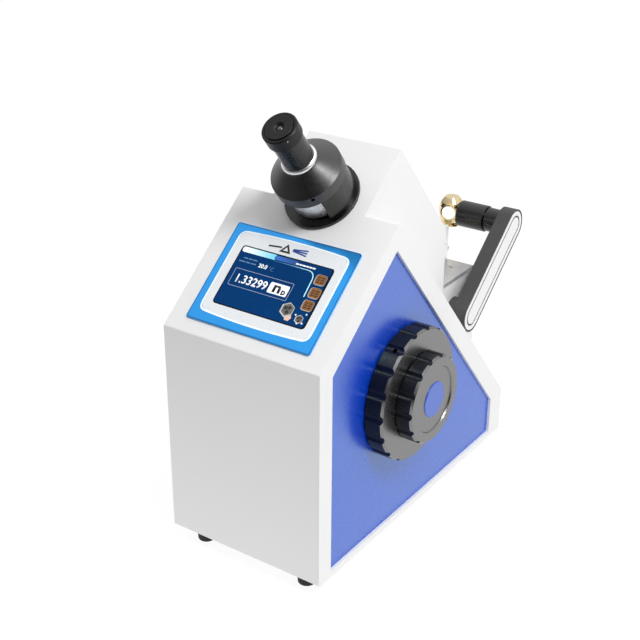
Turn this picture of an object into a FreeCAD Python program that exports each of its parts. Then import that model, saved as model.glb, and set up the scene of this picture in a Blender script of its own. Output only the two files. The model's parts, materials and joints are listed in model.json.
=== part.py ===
import FreeCAD, Part
import math
import os

# Bench refractometer of the Abbe type, with a display on its sloping front.
# Millimetres. While it is built, x = 0 is the optical mid-plane, y = 0 the front face and
# z = 0 the underside of the casing. At the end everything moves so that the origin is the
# centre of the overall box, on the surface that the feet stand on.

V = FreeCAD.Vector
X_AXIS = V(1, 0, 0)
Y_AXIS = V(0, 1, 0)
Z_AXIS = V(0, 0, 1)

# Casing
WIDTH = 180.0
HALF = WIDTH / 2
SHEET = 3.0
INNER = HALF - SHEET
FRONT_HEIGHT = 226.0
SHOULDER_Y, SHOULDER_Z = 126.0, 329.0
REAR_Y, REAR_HEIGHT = 366.0, 52.0
BEND = 2.0

# Tower, the narrow middle part that carries the eyepiece and the prisms
TOWER_HALF = 52.5
TOWER_INNER = TOWER_HALF - SHEET
RIDGE_Y = 186.0
TOWER_REAR_Y = 284.0
SHELF_Z = 197.5
BLOCK_REAR_Y = 358.0

RISE = (SHOULDER_Z - FRONT_HEIGHT) / SHOULDER_Y
FALL = (SHOULDER_Z - REAR_HEIGHT) / (REAR_Y - SHOULDER_Y)
FRONT_SLOPE = math.atan(RISE)
RIDGE_Z = FRONT_HEIGHT + RISE * RIDGE_Y
TOWER_REAR_Z = RIDGE_Z - FALL * (TOWER_REAR_Y - RIDGE_Y)

# Side openings, the same shape on both sides
SIDE_OPENING = [(20, 6.5), (20, 216.5), (124, 303), (341, 49), (341, 6.5)]
PANEL_MARGIN = 7.0
PANEL_THICK = 3.0
PANEL_FACE = INNER

# Feet
FOOT_HEIGHT = 16.0
FOOT_R = 9.7
FOOT_X, FOOT_Y = 63.0, 18.5
BASE_THICK = 3.0
GAP = 0.2

# Display, in slope coordinates (x across, s up the slope, n out of it)
BEZEL_HALF, BEZEL_LOW, BEZEL_HIGH = 71.0, 14.7, 122.9
PLATE = 1.6
SURROUND_HALF, SURROUND_LOW, SURROUND_HIGH = 62.0, 26.5, 115.0
SURROUND_BULGE = 1.8
SCREEN_HALF, SCREEN_LOW, SCREEN_HIGH = 52.3, 37.7, 100.9

# Eyepiece
EYEPIECE_S = 171.7
WHEEL_R = 28.8
TUBE_R = 14.2

# Knobs, on one axis along x
KNOB_Y, KNOB_Z = 144.0, 149.5
COARSE_R, FINE_R = 68.0, 45.0
COARSE_BACK, COARSE_FACE = 88.0, 108.0
FINE_BACK, FINE_FACE = 108.4, 126.0
COARSE_FLUTES, FINE_FLUTES = 18, 14

# Reduction gear between the two knobs, and the sector gear of the mirror
SUN_TEETH, PLANET_TEETH = 18, 18
RING_TEETH = SUN_TEETH + 2 * PLANET_TEETH
REDUCTION_MODULE = 0.8
PINION_TEETH, SECTOR_TEETH = 18, 200
BACKLASH = 0.12
PRESSURE = math.radians(20)
RUNNING = 0.05

# Prisms on the shelf behind the tower
STAGE_THICK = 4.5
STAGE_TOP = SHELF_Z + STAGE_THICK
PRISM_HALF = 23.0
PRISM_FRONT, PRISM_BACK = 296.0, 344.0
PRISM_SPLIT = 223.0
PRISM_TOP = 245.0
OPTIC_Z = STAGE_TOP + 12.5
HINGE_X, HINGE_Z = -27.5, 223.2

# Lamp arm on the right side of the tower
ARM_LOW = (305.0, 164.1)
ARM_HIGH = (394.8, 240.7)
ARM_R = 18.0
ARM_INNER, ARM_OUTER = 62.0, 78.0
LAMP_R = 14.8

parts = {}


# ---------------------------------------------------------------- helpers

def block(x0, x1, y0, y1, z0, z1):
    return Part.makeBox(x1 - x0, y1 - y0, z1 - z0, V(x0, y0, z0))


def place(shape, origin, z_axis, x_axis):
    """A shape drawn about local Z, moved so that its Z and X lie along the given axes."""
    moved = shape.copy()
    turn = FreeCAD.Rotation(x_axis, V(0, 0, 0), z_axis, "ZXY")
    moved.Placement = FreeCAD.Placement(V(*origin), turn).multiply(moved.Placement)
    return moved


def along_x(shape, x, y, z):
    """Local Z becomes x, so that local angles run from +y towards +z."""
    return place(shape, (x, y, z), X_AXIS, Y_AXIS)


def along_y(shape, x, y, z):
    return place(shape, (x, y, z), Y_AXIS, X_AXIS)


def on_slope(shape, s=0.0):
    """From slope coordinates, counted from the front top edge, to the casing's."""
    up = V(0, math.cos(FRONT_SLOPE), math.sin(FRONT_SLOPE))
    out = V(0, -math.sin(FRONT_SLOPE), math.cos(FRONT_SLOPE))
    start = V(0, 0, FRONT_HEIGHT) + up * s
    return place(shape, (start.x, start.y, start.z), out, X_AXIS)


def on_eyepiece(shape):
    return on_slope(shape, EYEPIECE_S)


def turned(profile):
    """A closed (radius, height) outline turned about Z."""
    points = [V(r, 0, z) for r, z in profile]
    face = Part.Face(Part.makePolygon(points + points[:1]))
    return face.revolve(V(0, 0, 0), Z_AXIS, 360)


def ring(outer, inner, z0, z1):
    return turned([(inner, z0), (outer, z0), (outer, z1), (inner, z1)])


def rod(radius, z0, z1):
    return Part.makeCylinder(radius, z1 - z0, V(0, 0, z0))


def rounded_face(points, radius, lift):
    """A flat face with rounded corners; radius is one number, or one for each corner.
    lift turns a point (u, v) into a vector."""
    count = len(points)
    radii = radius if isinstance(radius, list) else [radius] * count
    corners = []
    for i, (u, v) in enumerate(points):
        before = points[i - 1]
        after = points[(i + 1) % count]
        to_before = V(before[0] - u, before[1] - v, 0).normalize()
        to_after = V(after[0] - u, after[1] - v, 0).normalize()
        half = to_before.getAngle(to_after) / 2
        reach = radii[i] / math.tan(half)
        middle = (to_before + to_after).normalize() * (radii[i] / math.sin(half) - radii[i])
        corner = V(u, v, 0)
        corners.append((corner + to_before * reach, corner + middle, corner + to_after * reach))
    outline = []
    for i, (start, top, end) in enumerate(corners):
        if radii[i] > 0:
            outline.append(Part.Arc(lift(start.x, start.y), lift(top.x, top.y), lift(end.x, end.y)).toShape())
        following = corners[(i + 1) % count][0]
        if (end - following).Length > 1e-6:
            outline.append(Part.LineSegment(lift(end.x, end.y), lift(following.x, following.y)).toShape())
    return Part.Face(Part.Wire(outline))


def side_prism(points, x0, x1, radius=0.0):
    """A (y, z) outline stretched from x0 to x1."""
    if radius:
        face = rounded_face(points, radius, lambda y, z: V(x0, y, z))
    else:
        corners = [V(x0, y, z) for y, z in points]
        face = Part.Face(Part.makePolygon(corners + corners[:1]))
    return face.extrude(V(x1 - x0, 0, 0))


def flat_plate(points, z0, z1, radius=0.0):
    """An (x, y) outline stretched from z0 to z1."""
    if radius:
        face = rounded_face(points, radius, lambda x, y: V(x, y, z0))
    else:
        corners = [V(x, y, z0) for x, y in points]
        face = Part.Face(Part.makePolygon(corners + corners[:1]))
    return face.extrude(V(0, 0, z1 - z0))


def rectangle(x0, x1, y0, y1):
    return [(x0, y0), (x1, y0), (x1, y1), (x0, y1)]


def inset(points, distance):
    """The outline moved inwards by a distance; outwards when it is negative."""
    area = 0.0
    count = len(points)
    for i, (a, b) in enumerate(points):
        c, d = points[(i + 1) % count]
        area += a * d - b * c
    sign = 1.0 if area > 0 else -1.0
    lines = []
    for i, (a, b) in enumerate(points):
        c, d = points[(i + 1) % count]
        length = math.hypot(c - a, d - b)
        shift_u, shift_v = -(d - b) / length * distance * sign, (c - a) / length * distance * sign
        lines.append((a + shift_u, b + shift_v, c - a, d - b))
    result = []
    for i in range(count):
        a, b, p, q = lines[i - 1]
        c, d, r, t = lines[i]
        step = ((c - a) * t - (d - b) * r) / (p * t - q * r)
        result.append((a + p * step, b + q * step))
    return result


def obround(length, radius, z0, z1):
    """A plate with round ends, centred on the origin, its other end centre at +x."""
    body = Part.makeBox(length, 2 * radius, z1 - z0, V(0, -radius, z0))
    far = rod(radius, z0, z1)
    far.translate(V(length, 0, 0))
    return body.fuse([rod(radius, z0, z1), far]).removeSplitter()


def arm_place(shape, x):
    """Local X runs from the arm's low centre to its high centre, local Z along x."""
    direction = V(0, ARM_HIGH[0] - ARM_LOW[0], ARM_HIGH[1] - ARM_LOW[1]).normalize()
    return place(shape, (x, ARM_LOW[0], ARM_LOW[1]), X_AXIS, direction)


def copies(shape, points):
    found = []
    for x, y, z in points:
        one = shape.copy()
        one.translate(V(x, y, z))
        found.append(one)
    return found


def screw(head_r, head_h, shank_r, length):
    """A socket screw: its head's underside is at z = 0 and its shank points down."""
    head = rod(head_r, 0, head_h)
    socket = flat_plate([(head_r * 0.5 * math.cos(math.radians(60 * i)),
                          head_r * 0.5 * math.sin(math.radians(60 * i))) for i in range(6)],
                        head_h * 0.4, head_h)
    return head.fuse(rod(shank_r, -length, 0)).cut(socket)


def involute_half_angle(radius, pitch_r, teeth, play):
    base = pitch_r * math.cos(PRESSURE)
    at = math.acos(min(1.0, base / max(radius, base)))
    at_pitch = math.tan(PRESSURE) - PRESSURE
    return math.pi / (2 * teeth) - play / (2 * pitch_r) + at_pitch - (math.tan(at) - at)


def tooth_points(teeth, module, first, count, phase, low, high, play):
    """The outline of some teeth in turn: low and high are the root and tip, in modules."""
    pitch_r = teeth * module / 2
    base = pitch_r * math.cos(PRESSURE)
    root, tip = pitch_r - low * module, pitch_r + high * module
    start = max(root, base)
    radii = [start + (tip - start) * i / 5 for i in range(6)]
    if root < base:
        radii.insert(0, root)
    points = []
    for k in range(first, first + count):
        centre = phase + 2 * math.pi * k / teeth
        flank = [(r, involute_half_angle(r, pitch_r, teeth, play)) for r in radii]
        rising = [(r, centre - a) for r, a in flank]
        falling = [(r, centre + a) for r, a in reversed(flank)]
        points += [(r * math.cos(a), r * math.sin(a)) for r, a in rising + falling]
    return points


def gear(teeth, module, width, phase=0.0):
    points = tooth_points(teeth, module, 0, teeth, phase, 1.25, 1.0, BACKLASH)
    return flat_plate(points, 0, width)


def fluted(profile, radius, flutes, flute_r, depth, phase=0.0):
    """A turned body with round flutes cut all round its rim."""
    body = turned(profile)
    low = min(z for r, z in profile) - 1
    high = max(z for r, z in profile) + 1
    cutters = []
    for k in range(flutes):
        angle = phase + 2 * math.pi * k / flutes
        cutter = rod(flute_r, low, high)
        reach = radius + flute_r - depth
        cutter.translate(V(reach * math.cos(angle), reach * math.sin(angle), 0))
        cutters.append(cutter)
    return body.cut(cutters)


def keep(name, *shapes):
    solids = []
    for shape in shapes:
        solids += shape.Solids
    parts[name] = solids


# ---------------------------------------------------------------- casing

BODY_OUTLINE = [(0, 0), (0, FRONT_HEIGHT), (SHOULDER_Y, SHOULDER_Z), (REAR_Y, REAR_HEIGHT), (REAR_Y, 0)]
TOWER_START_Y, TOWER_START_Z = 100.0, 40.0
TOWER_OUTLINE = [
    (TOWER_START_Y, FRONT_HEIGHT + RISE * TOWER_START_Y),
    (RIDGE_Y, RIDGE_Z),
    (TOWER_REAR_Y, TOWER_REAR_Z),
    (TOWER_REAR_Y, SHELF_Z),
    (BLOCK_REAR_Y, SHELF_Z),
    (BLOCK_REAR_Y, TOWER_START_Z),
    (TOWER_START_Y, TOWER_START_Z),
]
TOWER_BENDS = [BEND, BEND, 8.0, 0.0, BEND, BEND, BEND]
CORNER_BLOCK = 9.0
CORNER_Y = [SHEET + CORNER_BLOCK / 2, REAR_Y - SHEET - CORNER_BLOCK / 2]
CORNER_X = INNER - 5.5
M3 = 1.5
REAR_OPENING = (70.0, 8.0, 44.0)
REAR_PANEL = (76.0, 4.5, 47.5)
PANEL_SCREWS = [(side * 73.0, z) for side in (-1, 1) for z in (7.5, 44.5)]
STAGE_SCREWS = [(-38.0, 300.0), (-38.0, 344.0), (38.0, 298.0)]
EYEPIECE_BORE = 16.0
DISPLAY_WINDOW = (55.5, 34.0, 104.5)


def stud_places():
    """Where each side panel is screwed to its frame, as (y, z)."""
    path = inset(SIDE_OPENING, -PANEL_MARGIN / 2)
    corners = path[1:4]
    middles = [((a[0] + b[0]) / 2, (a[1] + b[1]) / 2) for a, b in zip(path[0:3], path[1:4])]
    return corners + middles


def casing():
    outer = side_prism(BODY_OUTLINE, -HALF, HALF, BEND)
    tower = side_prism(TOWER_OUTLINE, -TOWER_HALF, TOWER_HALF, TOWER_BENDS)
    hollow_outline = [(y, -1.0 if z < SHEET + 0.1 else z) for y, z in inset(BODY_OUTLINE, SHEET)]
    hollow = side_prism(hollow_outline, -INNER, INNER)
    tower_hollow = side_prism(inset(TOWER_OUTLINE, SHEET), -TOWER_INNER, TOWER_INNER)
    shell = outer.fuse(tower).cut([hollow, tower_hollow]).removeSplitter()
    feet_end = block(-HALF - 1, HALF + 1, -1, REAR_Y + 1, -5, 0)
    cuts = [side_prism(SIDE_OPENING, -HALF - 1, HALF + 1, 1.5), feet_end]
    cuts.append(on_eyepiece(rod(EYEPIECE_BORE, -SHEET - 1, 1)))
    half, low, high = DISPLAY_WINDOW
    cuts.append(on_slope(flat_plate(rectangle(-half, half, low, high), -SHEET - 1, 1)))
    half, low, high = REAR_OPENING
    cuts.append(block(-half, half, REAR_Y - SHEET - 1, REAR_Y + 1, low, high))
    cuts.append(along_y(rod(12, 0, SHEET + 2), 0, TOWER_REAR_Y - SHEET - 1, OPTIC_Z))
    cuts.append(along_x(rod(5, 0, SHEET + 2), TOWER_HALF - SHEET - 1, *ARM_LOW))
    for x, z in PANEL_SCREWS:
        cuts.append(along_y(rod(M3, 0, SHEET + 2), x, REAR_Y - SHEET - 1, z))
    for x, y in STAGE_SCREWS:
        cuts.append(rod(M3, 0, SHEET + 2).translated(V(x, y, SHELF_Z - SHEET - 1)))
    shell = shell.cut(cuts)
    inside = INNER + 0.5
    lugs = []
    for y in CORNER_Y:
        for side in (-1, 1):
            edge = side * inside
            near = side * (INNER - 11)
            half = CORNER_BLOCK / 2 + 0.5
            lug = block(min(edge, near), max(edge, near), y - half, y + half, BASE_THICK + GAP, 15)
            hole = rod(M3, -1, 14).translated(V(side * CORNER_X, y, 0))
            lugs.append(lug.cut(hole))
    return shell.fuse(lugs).removeSplitter()


def side_panel(side):
    outline = inset(SIDE_OPENING, -PANEL_MARGIN)
    outline = [(y, max(z, BASE_THICK + GAP)) for y, z in outline]
    near, far = side * (PANEL_FACE - PANEL_THICK), side * PANEL_FACE
    panel = side_prism(outline, min(near, far), max(near, far), 1.5)
    holes = [along_x(rod(M3 + 0.1, -1, PANEL_THICK + 1), min(near, far), y, z) for y, z in stud_places()]
    if side > 0:
        holes.append(along_x(rod(HOUSING_BOSS_R, -1, PANEL_THICK + 1), near, KNOB_Y, KNOB_Z))
    return panel.cut(holes)


def base_plate():
    plate = block(-INNER + GAP, INNER - GAP, SHEET + GAP, REAR_Y - SHEET - GAP, 0, BASE_THICK)
    cuts = [rod(2, -1, 5).translated(V(x, y, 0)) for x, y in foot_places()]
    for y in CORNER_Y:
        for side in (-1, 1):
            cuts.append(rod(M3 + 0.1, -1, 5).translated(V(side * CORNER_X, y, 0)))
    for row in (-1, 1):
        for k in range(8):
            y = 110 + 15 * k
            cuts.append(block(row * 62 - 14, row * 62 + 14, y, y + 4, -1, 5))
    posts = copies(ring(3.2, 1.2, BASE_THICK - 0.5, 9), [(x, y, 0) for x, y in BOARD_HOLES])
    return plate.cut(cuts).fuse(posts).removeSplitter()


BOARD_HOLES = [(x, y) for x in (-62, 62) for y in (38, 92)]


def foot_places():
    return [(side * FOOT_X, y) for side in (-1, 1) for y in (FOOT_Y, REAR_Y - FOOT_Y)]


def foot():
    profile = [(2.0, 0), (FOOT_R, 0), (FOOT_R, -3), (FOOT_R - 0.7, 1 - FOOT_HEIGHT),
               (FOOT_R - 1.5, -FOOT_HEIGHT), (5.0, -FOOT_HEIGHT), (5.0, -7), (2.0, -7)]
    return turned(profile)


def build_casing():
    keep("casing", casing())
    keep("side_panel_right", side_panel(1))
    keep("side_panel_left", side_panel(-1))
    keep("base_plate", base_plate())
    keep("feet", *copies(foot(), [(x, y, 0) for x, y in foot_places()]))
    foot_screw = place(screw(3.8, 2.6, 2.0, 12), (0, 0, -7), V(0, 0, -1), X_AXIS)
    keep("foot_screws", *copies(foot_screw, [(x, y, 0) for x, y in foot_places()]))


def m3_screws():
    """Every M3 screw of the frame: base plate, side panels, rear panel and stage."""
    found = []
    for y in CORNER_Y:
        for side in (-1, 1):
            found.append(place(screw(2.75, 1.8, M3, 12), (side * CORNER_X, y, 0), V(0, 0, -1), X_AXIS))
    for side in (-1, 1):
        inner = side * (PANEL_FACE - PANEL_THICK)
        for y, z in stud_places():
            found.append(place(screw(2.75, 1.8, M3, PANEL_THICK), (inner, y, z), V(-side, 0, 0), Y_AXIS))
    for x, z in PANEL_SCREWS:
        found.append(along_y(screw(2.75, 1.8, M3, 6), x, REAR_Y + 1.5, z))
    for x, y in STAGE_SCREWS:
        found.append(place(screw(2.75, 1.8, M3, 9), (x, y, STAGE_TOP), Z_AXIS, X_AXIS))
    return found


# ---------------------------------------------------------------- rear panel and its sockets

INLET_X, SWITCH_X, SERIAL_X = -45.0, -8.0, 45.0
SOCKET_Z = 26.0
PANEL_OUT = REAR_Y + 1.5


def rear_panel():
    half, low, high = REAR_PANEL
    plate = block(-half, half, REAR_Y, PANEL_OUT, low, high)
    cuts = [block(INLET_X - 13.5, INLET_X + 13.5, REAR_Y - 1, PANEL_OUT + 1, 16, 36)]
    cuts.append(block(SWITCH_X - 8.5, SWITCH_X + 8.5, REAR_Y - 1, PANEL_OUT + 1, 15, 37))
    cuts.append(block(SERIAL_X - 8.5, SERIAL_X + 8.5, REAR_Y - 1, PANEL_OUT + 1, 21, 31))
    for x, z in PANEL_SCREWS:
        cuts.append(along_y(rod(M3 + 0.1, 0, 4), x, REAR_Y - 1, z))
    return plate.cut(cuts)


def power_inlet():
    flange = flat_plate(rectangle(-15, 15, -12, 12), 0, 2, 2.5)
    body = flat_plate(rectangle(-13.5, 13.5, -10, 10), -22, 0)
    cavity = flat_plate(rectangle(-12, 12, -8.5, 8.5), -13, 3, 2.0)
    return flange.fuse(body).removeSplitter().cut(cavity)


def inlet_pins():
    """Two side blades and the earth blade above them."""
    found = []
    for x, low in ((-7, -3), (7, -3), (0, 2.5)):
        found.append(flat_plate(rectangle(x - 1, x + 1, low, low + 4), -13, -1))
    return found


def facing_back(shape, x):
    """Local X runs to -x and local Y up, on the outside of the rear panel."""
    return place(shape, (x, PANEL_OUT, SOCKET_Z), Y_AXIS, V(-1, 0, 0))


def switch_housing():
    flange = flat_plate(rectangle(-9.5, 9.5, -12.5, 12.5), 0, 2, 1.5)
    body = flat_plate(rectangle(-8.5, 8.5, -11, 11), -18, 0)
    window = flat_plate(rectangle(-7.2, 7.2, -9.8, 9.8), -14, 3)
    pin = along_x(rod(1.2, -8, 8), 0, 0, ROCKER_DEPTH)
    return flange.fuse(body).removeSplitter().cut(window).fuse(pin).removeSplitter()


ROCKER_DEPTH = -3.5
ROCKER_TILT = 8.0


def power_rocker():
    """Its front is a shallow V, so that one half or the other is pressed in."""
    outline = [(-3.5, -4.5), (3.5, -4.5), (8.6, 0.5), (8.6, 5.6), (0, 4.2), (-8.6, 5.6), (-8.6, 0.5)]
    body = side_prism(outline, -6.9, 6.9)
    body = body.cut(along_x(rod(1.2 + RUNNING, -8, 8), 0, 0, 0))
    body.rotate(V(0, 0, 0), X_AXIS, ROCKER_TILT)
    body.translate(V(0, 0, ROCKER_DEPTH))
    return body


def serial_port():
    flange = flat_plate(rectangle(-15.5, 15.5, -6.3, 6.3), 0, 1, 1.5)
    shell = flat_plate([(-8.4, 4.4), (-7.6, -4.4), (7.6, -4.4), (8.4, 4.4)], -10, 6, 1.2)
    studs = [rod(2.4, 1, 5.5).translated(V(x, 0, 0)) for x in (-12.5, 12.5)]
    body = flange.fuse([shell] + studs).removeSplitter()
    holes = []
    for row, count in ((1.4, 5), (-1.4, 4)):
        for k in range(count):
            holes.append(rod(0.5, 3, 7).translated(V((k - (count - 1) / 2) * 2.77, row, 0)))
    return body.cut(holes)


def build_rear():
    keep("rear_panel", rear_panel())
    keep("power_inlet", facing_back(power_inlet(), INLET_X))
    keep("inlet_pins", *[facing_back(pin, INLET_X) for pin in inlet_pins()])
    keep("switch_housing", facing_back(switch_housing(), SWITCH_X))
    keep("power_rocker", facing_back(power_rocker(), SWITCH_X))
    keep("serial_port", facing_back(serial_port(), SERIAL_X))


# ---------------------------------------------------------------- display

def bulged_face(half, low, high, bulge, corner, z0):
    """A rounded rectangle whose long sides bow outwards a little."""
    lift = lambda x, y: V(x, y, z0)
    points = []
    edges = []
    for x_sign, y_sign in ((-1, -1), (1, -1), (1, 1), (-1, 1)):
        y = low if y_sign < 0 else high
        side_end = lift(x_sign * half, y - y_sign * corner)
        long_end = lift(x_sign * (half - corner), y)
        reach = corner * (1 - math.sqrt(0.5))
        middle = lift(x_sign * (half - reach), y - y_sign * reach)
        ordered = (side_end, middle, long_end) if x_sign * y_sign > 0 else (long_end, middle, side_end)
        edges.append(Part.Arc(*ordered).toShape())
        points.append((ordered[0], ordered[2]))
    outline = []
    for i in range(4):
        outline.append(edges[i])
        a, b = points[i][1], points[(i + 1) % 4][0]
        if abs(a.y - b.y) < 1e-6:
            y = a.y - bulge if a.y < (low + high) / 2 else a.y + bulge
            outline.append(Part.Arc(a, lift(0, y), b).toShape())
        else:
            outline.append(Part.LineSegment(a, b).toShape())
    return Part.Face(Part.Wire(outline))


def build_display():
    bezel = flat_plate(rectangle(-BEZEL_HALF, BEZEL_HALF, BEZEL_LOW, BEZEL_HIGH), 0, PLATE, 2.5)
    inner = bulged_face(SURROUND_HALF, SURROUND_LOW, SURROUND_HIGH, SURROUND_BULGE, 9.0, -1)
    inner = inner.extrude(V(0, 0, 4))
    surround = inner.common(block(-80, 80, 0, 130, 0, PLATE))
    screen = flat_plate(rectangle(-SCREEN_HALF, SCREEN_HALF, SCREEN_LOW, SCREEN_HIGH), -0.2, PLATE - 0.4, 0.8)
    window = flat_plate(rectangle(-SCREEN_HALF, SCREEN_HALF, SCREEN_LOW, SCREEN_HIGH), -1, 3, 0.8)
    half = SCREEN_HALF + 2
    module = flat_plate(rectangle(-half, half, SCREEN_LOW - 3, SCREEN_HIGH + 3), -3.2, -0.2)
    module = module.fuse(flat_plate(rectangle(-60, 60, 30, 108), -9, -3.2)).removeSplitter()
    keep("display_bezel", on_slope(bezel.cut(inner)))
    keep("display_surround", on_slope(surround.cut(window)))
    keep("touch_screen", on_slope(screen))
    keep("lcd_module", on_slope(module))
    board = block(-66, 66, 30, 100, 9, 10.6)
    holes = [rod(1.2, 8, 12).translated(V(x, y, 0)) for x, y in BOARD_HOLES]
    chips = [block(-40, -18, 50, 72, 10.6, 13), block(0, 12, 44, 60, 10.6, 12.4),
             block(20, 34, 66, 84, 10.6, 20), block(-58, -46, 48, 84, 10.6, 18)]
    keep("main_board", board.cut(holes).fuse(chips).removeSplitter())
    keep("power_supply", block(-80, -46, 120, 220, BASE_THICK, 40))


# ---------------------------------------------------------------- eyepiece

NOTCH_FROM, NOTCH_TO = 176.0, 316.0
HOOD_LOW, HOOD_HIGH = 31.4, 59.6
CAP_LOW, CAP_HIGH = 93.8, 108.6
WHEEL_LOW, WHEEL_HIGH = 5.0, 32.6
CELL_SLEEVE_R = 14.9


def wedge(reach, from_deg, to_deg, z0, z1):
    """A sector of a disc, for cutting."""
    steps = 6
    points = [(0.0, 0.0)]
    for k in range(steps + 1):
        angle = math.radians(from_deg + (to_deg - from_deg) * k / steps)
        points.append((reach * math.cos(angle), reach * math.sin(angle)))
    return flat_plate(points, z0, z1)


def build_eyepiece():
    flange = ring(38.0, CELL_SLEEVE_R + RUNNING, 0, 3.5)
    keep("eyepiece_flange", on_eyepiece(flange))

    housing = ring(34.3, 31.5, 3.5, HOOD_LOW)
    housing = housing.cut(wedge(60, NOTCH_FROM, NOTCH_TO, 2, HOOD_LOW + 1))
    keep("eyepiece_housing", on_eyepiece(housing))

    hood = turned([
        (33.6, HOOD_LOW), (33.6, 32.2), (35.2, 32.2), (35.2, 43.8), (33.6, 45.2), (18.8, 58.6),
        (18.0, HOOD_HIGH), (17.6, HOOD_HIGH), (17.6, 57.6), (TUBE_R, 57.6), (TUBE_R, 43), (31.0, 43),
        (31.0, HOOD_LOW),
    ])
    set_screw_hole = place(rod(2.0, 31.5, 36), (0, 0, 41.2), V(0.63, -0.78, 0), Z_AXIS)
    keep("eyepiece_hood", on_eyepiece(hood.cut(set_screw_hole)))

    keep("focus_ring", on_eyepiece(turned([
        (TUBE_R, 57.6), (16.9, 57.6), (16.9, 60.5), (16.5, 61.0), (TUBE_R, 61.0),
    ])))
    tube = turned([
        (11.5, 40), (TUBE_R, 40), (TUBE_R, 62.4), (15.2, 63.4), (15.2, 92.8), (14.6, 93.4), (12.9, 93.4),
        (12.9, 100), (11.5, 100),
    ])
    keep("eyepiece_tube", on_eyepiece(tube))

    cap = turned([
        (12.95, CAP_LOW), (16.6, CAP_LOW), (17.3, CAP_LOW + 0.7), (17.3, CAP_HIGH - 2.0),
        (16.3, CAP_HIGH - 1.0), (14.5, CAP_HIGH - 1.0), (14.5, CAP_HIGH - 1.8), (13.7, CAP_HIGH - 1.8),
        (13.7, CAP_HIGH - 0.3), (13.4, CAP_HIGH), (6.0, CAP_HIGH),
        (3.2, CAP_HIGH - 1.6), (3.2, CAP_HIGH - 2.6), (12.95, CAP_HIGH - 2.6),
    ])
    cap_screw_hole = place(rod(1.0, 15.6, 18), (0, 0, CAP_HIGH - 4.8), V(0.8, -0.6, 0), Z_AXIS)
    keep("diopter_cap", on_eyepiece(cap.cut(cap_screw_hole)))
    cell = turned([
        (9.6, 84), (11.45, 84), (11.45, 98.8), (9.0, 98.8), (9.0, 97.4), (9.6, 97.4),
    ])
    keep("eye_lens_cell", on_eyepiece(cell))
    lens = rod(9.6, 93.4, 97.4).common(Part.makeSphere(26, V(0, 0, 72.0)))
    lens = lens.common(Part.makeSphere(26, V(0, 0, 118.8)))
    keep("eye_lens", on_eyepiece(lens))

    wheel = fluted([
        (12.4, -6), (CELL_SLEEVE_R, -6), (CELL_SLEEVE_R, WHEEL_LOW - 1), (24, WHEEL_LOW - 1), (24, WHEEL_LOW),
        (WHEEL_R - 0.8, WHEEL_LOW), (WHEEL_R, WHEEL_LOW + 0.8), (WHEEL_R, WHEEL_HIGH - 0.8),
        (WHEEL_R - 0.8, WHEEL_HIGH), (12.4, WHEEL_HIGH),
    ], WHEEL_R, 60, 0.7, 0.35)
    keep("dispersion_wheel", on_eyepiece(wheel))
    keep("amici_prism", on_eyepiece(block(-8, 8, -8, 8, 0, 26)))

    mirror_distance = (EYEPIECE_CENTRE_Z - OPTIC_Z) / math.cos(FRONT_SLOPE)
    low = 34.0 - mirror_distance
    tube = turned([
        (CELL_SLEEVE_R + RUNNING, -9), (CELL_SLEEVE_R + RUNNING, -SHEET - 0.1), (26, -SHEET - 0.1), (26, -6),
        (17, -6), (17, low), (12.5, low), (12.5, -9),
    ])
    keep("telescope_tube", on_eyepiece(tube))
    lens = rod(12.5, low + 6, low + 13).common(Part.makeSphere(45, V(0, 0, low - 32.6)))
    keep("objective_lens", on_eyepiece(lens))


EYEPIECE_CENTRE_Y = EYEPIECE_S * math.cos(FRONT_SLOPE)
EYEPIECE_CENTRE_Z = FRONT_HEIGHT + EYEPIECE_S * math.sin(FRONT_SLOPE)


# ---------------------------------------------------------------- knobs and reduction gear

HOUSING_BOSS_R = 16.0
BEARING_R, BEARING_W = 11.0, 7.0
OUTPUT_R, FINE_SHAFT_R = 4.0, 3.5
GEAR_X0, GEAR_X1 = 95.2, 100.8
PLANET_ORBIT = (SUN_TEETH + PLANET_TEETH) * REDUCTION_MODULE / 2
PLANET_PIN_R = 2.5
COARSE_WEB = 103.0
PINION_X0, PINION_X1 = 41.2, 46.8
MIRROR_Y = EYEPIECE_CENTRE_Y + (EYEPIECE_CENTRE_Z - OPTIC_Z) * math.tan(FRONT_SLOPE)
GEAR_DISTANCE = math.hypot(MIRROR_Y - KNOB_Y, OPTIC_Z - KNOB_Z)
SECTOR_MODULE = GEAR_DISTANCE * 2 / (PINION_TEETH + SECTOR_TEETH)
GEAR_LINE = math.atan2(OPTIC_Z - KNOB_Z, MIRROR_Y - KNOB_Y)


def on_knob(shape):
    """Local Z is x, counted from the mid-plane."""
    return along_x(shape, 0, KNOB_Y, KNOB_Z)


def planet_place(shape, k):
    angle = 2 * math.pi * k / 3
    return along_x(shape, 0, KNOB_Y + PLANET_ORBIT * math.cos(angle), KNOB_Z + PLANET_ORBIT * math.sin(angle))


def coarse_knob():
    wall = COARSE_R - 8
    profile = [
        (wall, COARSE_BACK), (COARSE_R - 1, COARSE_BACK), (COARSE_R, COARSE_BACK + 1),
        (COARSE_R, COARSE_FACE - 2.2), (COARSE_R - 2, COARSE_FACE), (FINE_SHAFT_R + RUNNING, COARSE_FACE),
        (FINE_SHAFT_R + RUNNING, COARSE_WEB), (wall, COARSE_WEB),
    ]
    knob = fluted(profile, COARSE_R, COARSE_FLUTES, 7.0, 2.2, math.radians(119))
    angle = math.radians(119)
    hole = place(rod(2.4, 55, 75), (98, 0, 0), V(0, math.cos(angle), math.sin(angle)), X_AXIS)
    hole.translate(V(0, KNOB_Y, KNOB_Z))
    pin_holes = []
    for k in range(3):
        pin_holes.append(planet_place(rod(PLANET_PIN_R, COARSE_WEB - 1, COARSE_FACE - 1), k))
    return on_knob(knob).cut([hole] + pin_holes)


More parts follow.
